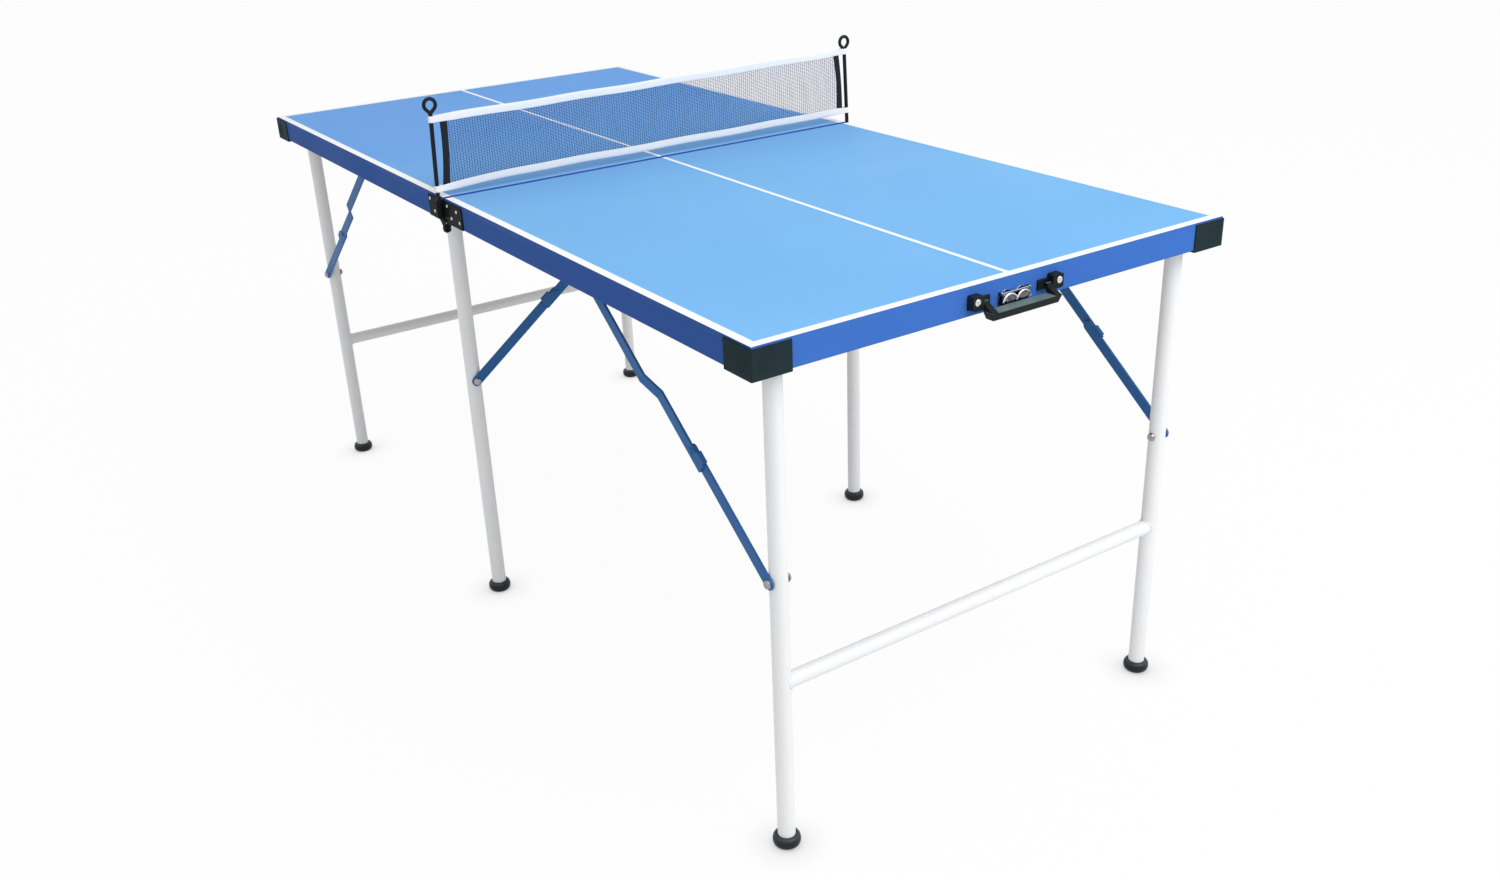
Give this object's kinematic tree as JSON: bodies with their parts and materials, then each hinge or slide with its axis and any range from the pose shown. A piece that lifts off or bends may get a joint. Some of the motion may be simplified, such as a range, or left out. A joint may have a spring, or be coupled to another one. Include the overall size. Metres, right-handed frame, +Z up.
{
  "type": "folding ping pong table",
  "caption": "Small folding ping pong table with a two-leaf blue top, tube legs on folding braces, levelling feet, a lift-off net on posts, a carrying handle and a latch.",
  "frame": {"origin": "on the floor under the middle of the table, at the joint of the two halves", "axes": "+X along the table towards the end with the handle, +Z up, +Y across the table"},
  "size_m": [1.5568, 0.7402, 0.8099],
  "materials": {
    "board": "smooth painted board, low sheen",
    "line_white": "white printed line",
    "apron": "blue foil on board, satin",
    "guard": "moulded, fine grain",
    "hinge_black": "black enamel",
    "leg_paint": "light powder coat",
    "brace_paint": "dark blue enamel",
    "steel": "zinc plated",
    "bright": "bright plated",
    "rubber": "matt",
    "post_black": "black enamel",
    "tape": "woven tape",
    "band": "woven band",
    "mesh": "knotless mesh",
    "grip": "moulded, fine grain"
  },
  "bodies": {
    "near_half": {"near_panel": "board", "near_lines": "line_white", "near_side_rail_left": "apron", "near_side_rail_right": "apron", "near_end_rail": "apron", "near_joint_rail": "apron", "near_guards": "guard", "near_hinge_leaves": "hinge_black", "hinge_pins": "hinge_black", "near_leg_brackets": "steel", "near_pivot_bolts": "steel", "handle_mounts": "grip", "latch_base": "bright"},
    "far_half": {"far_panel": "board", "far_lines": "line_white", "far_side_rail_left": "apron", "far_side_rail_right": "apron", "far_end_rail": "apron", "far_joint_rail": "apron", "far_guards": "guard", "far_hinge_leaves": "hinge_black", "far_leg_brackets": "steel", "far_pivot_bolts": "steel", "latch_catch": "bright"},
    "net": {"net_post_left": "post_black", "net_post_right": "post_black", "net_top_tape": "tape", "net_bottom_tape": "tape", "net_bands": "band", "net_mesh": "mesh"},
    "handle_grip": {"handle_grip": "grip"},
    "latch_lever": {"latch_lever": "bright"},
    "latch_loop": {"latch_loop": "bright"},
    "near_legs": {"near_leg_left": "leg_paint", "near_leg_right": "leg_paint", "near_crossbar": "leg_paint", "near_leg_bolts": "steel"},
    "near_mid_leg": {"near_mid_leg": "leg_paint", "near_mid_leg_bolt": "steel"},
    "near_brace_uppers": {"near_brace_uppers": "brace_paint"},
    "near_brace_lowers": {"near_brace_lowers": "brace_paint"},
    "near_mid_brace_upper": {"near_mid_brace_upper": "brace_paint"},
    "near_mid_brace_lower": {"near_mid_brace_lower": "brace_paint"},
    "near_foot_left": {"near_foot_left": "rubber"},
    "near_foot_right": {"near_foot_right": "rubber"},
    "near_mid_foot": {"near_mid_foot": "rubber"},
    "far_legs": {"far_leg_left": "leg_paint", "far_leg_right": "leg_paint", "far_crossbar": "leg_paint", "far_leg_bolts": "steel"},
    "far_mid_leg": {"far_mid_leg": "leg_paint", "far_mid_leg_bolt": "steel"},
    "far_brace_uppers": {"far_brace_uppers": "brace_paint"},
    "far_brace_lowers": {"far_brace_lowers": "brace_paint"},
    "far_mid_brace_upper": {"far_mid_brace_upper": "brace_paint"},
    "far_mid_brace_lower": {"far_mid_brace_lower": "brace_paint"},
    "far_foot_left": {"far_foot_left": "rubber"},
    "far_foot_right": {"far_foot_right": "rubber"},
    "far_mid_foot": {"far_mid_foot": "rubber"}
  },
  "joints": [
    {"name": "table_fold", "type": "hinge", "parent": "near_half", "child": "far_half", "pos_m": [0, 0, 0.626], "axis": [0, -1, 0], "range_deg": [0, 75]},
    {"name": "near_legs_fold", "type": "hinge", "parent": "near_half", "child": "near_legs", "pos_m": [0.7305, 0, 0.644], "axis": [0, 1, 0], "range_deg": [0, 90]},
    {"name": "near_brace_upper_turn", "type": "hinge", "parent": "near_half", "child": "near_brace_uppers", "pos_m": [0.3755, 0, 0.644], "axis": [0, -1, 0], "range_deg": [0, 37.58]},
    {"name": "near_brace_lower_turn", "type": "hinge", "parent": "near_legs", "child": "near_brace_lowers", "pos_m": [0.7305, 0, 0.371], "axis": [0, 1, 0], "range_deg": [0, 52.46]},
    {"name": "near_mid_leg_fold", "type": "hinge", "parent": "near_half", "child": "near_mid_leg", "pos_m": [0.052, 0.32796, 0.644], "axis": [-1, 0, 0], "range_deg": [0, 90]},
    {"name": "near_mid_brace_upper_turn", "type": "hinge", "parent": "near_half", "child": "near_mid_brace_upper", "pos_m": [0.052, -0.02704, 0.644], "axis": [1, 0, 0], "range_deg": [0, 37.58]},
    {"name": "near_mid_brace_lower_turn", "type": "hinge", "parent": "near_mid_leg", "child": "near_mid_brace_lower", "pos_m": [0.052, 0.32796, 0.371], "axis": [-1, 0, 0], "range_deg": [0, 52.46]},
    {"name": "near_foot_left_level", "type": "slide", "parent": "near_legs", "child": "near_foot_left", "axis": [0, 0, -1], "range_m": [0, 0.01]},
    {"name": "near_foot_right_level", "type": "slide", "parent": "near_legs", "child": "near_foot_right", "axis": [0, 0, -1], "range_m": [0, 0.01]},
    {"name": "near_mid_foot_level", "type": "slide", "parent": "near_mid_leg", "child": "near_mid_foot", "axis": [0, 0, -1], "range_m": [0, 0.01]},
    {"name": "far_legs_fold", "type": "hinge", "parent": "far_half", "child": "far_legs", "pos_m": [-0.7305, 0, 0.644], "axis": [0, -1, 0], "range_deg": [0, 90]},
    {"name": "far_brace_upper_turn", "type": "hinge", "parent": "far_half", "child": "far_brace_uppers", "pos_m": [-0.3755, 0, 0.644], "axis": [0, 1, 0], "range_deg": [0, 37.58]},
    {"name": "far_brace_lower_turn", "type": "hinge", "parent": "far_legs", "child": "far_brace_lowers", "pos_m": [-0.7305, 0, 0.371], "axis": [0, -1, 0], "range_deg": [0, 52.46]},
    {"name": "far_mid_leg_fold", "type": "hinge", "parent": "far_half", "child": "far_mid_leg", "pos_m": [-0.052, -0.32796, 0.644], "axis": [1, 0, 0], "range_deg": [0, 90]},
    {"name": "far_mid_brace_upper_turn", "type": "hinge", "parent": "far_half", "child": "far_mid_brace_upper", "pos_m": [-0.052, 0.02704, 0.644], "axis": [-1, 0, 0], "range_deg": [0, 37.58]},
    {"name": "far_mid_brace_lower_turn", "type": "hinge", "parent": "far_mid_leg", "child": "far_mid_brace_lower", "pos_m": [-0.052, -0.32796, 0.371], "axis": [1, 0, 0], "range_deg": [0, 52.46]},
    {"name": "far_foot_left_level", "type": "slide", "parent": "far_legs", "child": "far_foot_left", "axis": [0, 0, -1], "range_m": [0, 0.01]},
    {"name": "far_foot_right_level", "type": "slide", "parent": "far_legs", "child": "far_foot_right", "axis": [0, 0, -1], "range_m": [0, 0.01]},
    {"name": "far_mid_foot_level", "type": "slide", "parent": "far_mid_leg", "child": "far_mid_foot", "axis": [0, 0, -1], "range_m": [0, 0.01]},
    {"name": "net_lift", "type": "slide", "parent": "far_half", "child": "net", "axis": [0, 0, 1], "range_m": [0, 0.06]},
    {"name": "handle_swing", "type": "hinge", "parent": "near_half", "child": "handle_grip", "pos_m": [0.7695, 0, 0.648], "axis": [0, -1, 0], "range_deg": [0, 100]},
    {"name": "latch_lever_open", "type": "hinge", "parent": "near_half", "child": "latch_lever", "pos_m": [0.7665, 0, 0.6515], "axis": [0, -1, 0], "range_deg": [0, 90]},
    {"name": "latch_loop_hang", "type": "hinge", "parent": "latch_lever", "child": "latch_loop", "pos_m": [0.7665, 0, 0.6486], "axis": [0, 1, 0], "range_deg": [0, 175]}
  ],
  "couplings": [
    {"joint": "near_brace_upper_turn", "follows": "near_legs_fold", "ratio": 0.41734},
    {"joint": "near_brace_lower_turn", "follows": "near_legs_fold", "ratio": 0.58266},
    {"joint": "near_mid_brace_upper_turn", "follows": "near_mid_leg_fold", "ratio": 0.41734},
    {"joint": "near_mid_brace_lower_turn", "follows": "near_mid_leg_fold", "ratio": 0.58266},
    {"joint": "far_brace_upper_turn", "follows": "far_legs_fold", "ratio": 0.41734},
    {"joint": "far_brace_lower_turn", "follows": "far_legs_fold", "ratio": 0.58266},
    {"joint": "far_mid_brace_upper_turn", "follows": "far_mid_leg_fold", "ratio": 0.41734},
    {"joint": "far_mid_brace_lower_turn", "follows": "far_mid_leg_fold", "ratio": 0.58266},
    {"joint": "latch_loop_hang", "follows": "latch_lever_open", "ratio": 1}
  ]
}
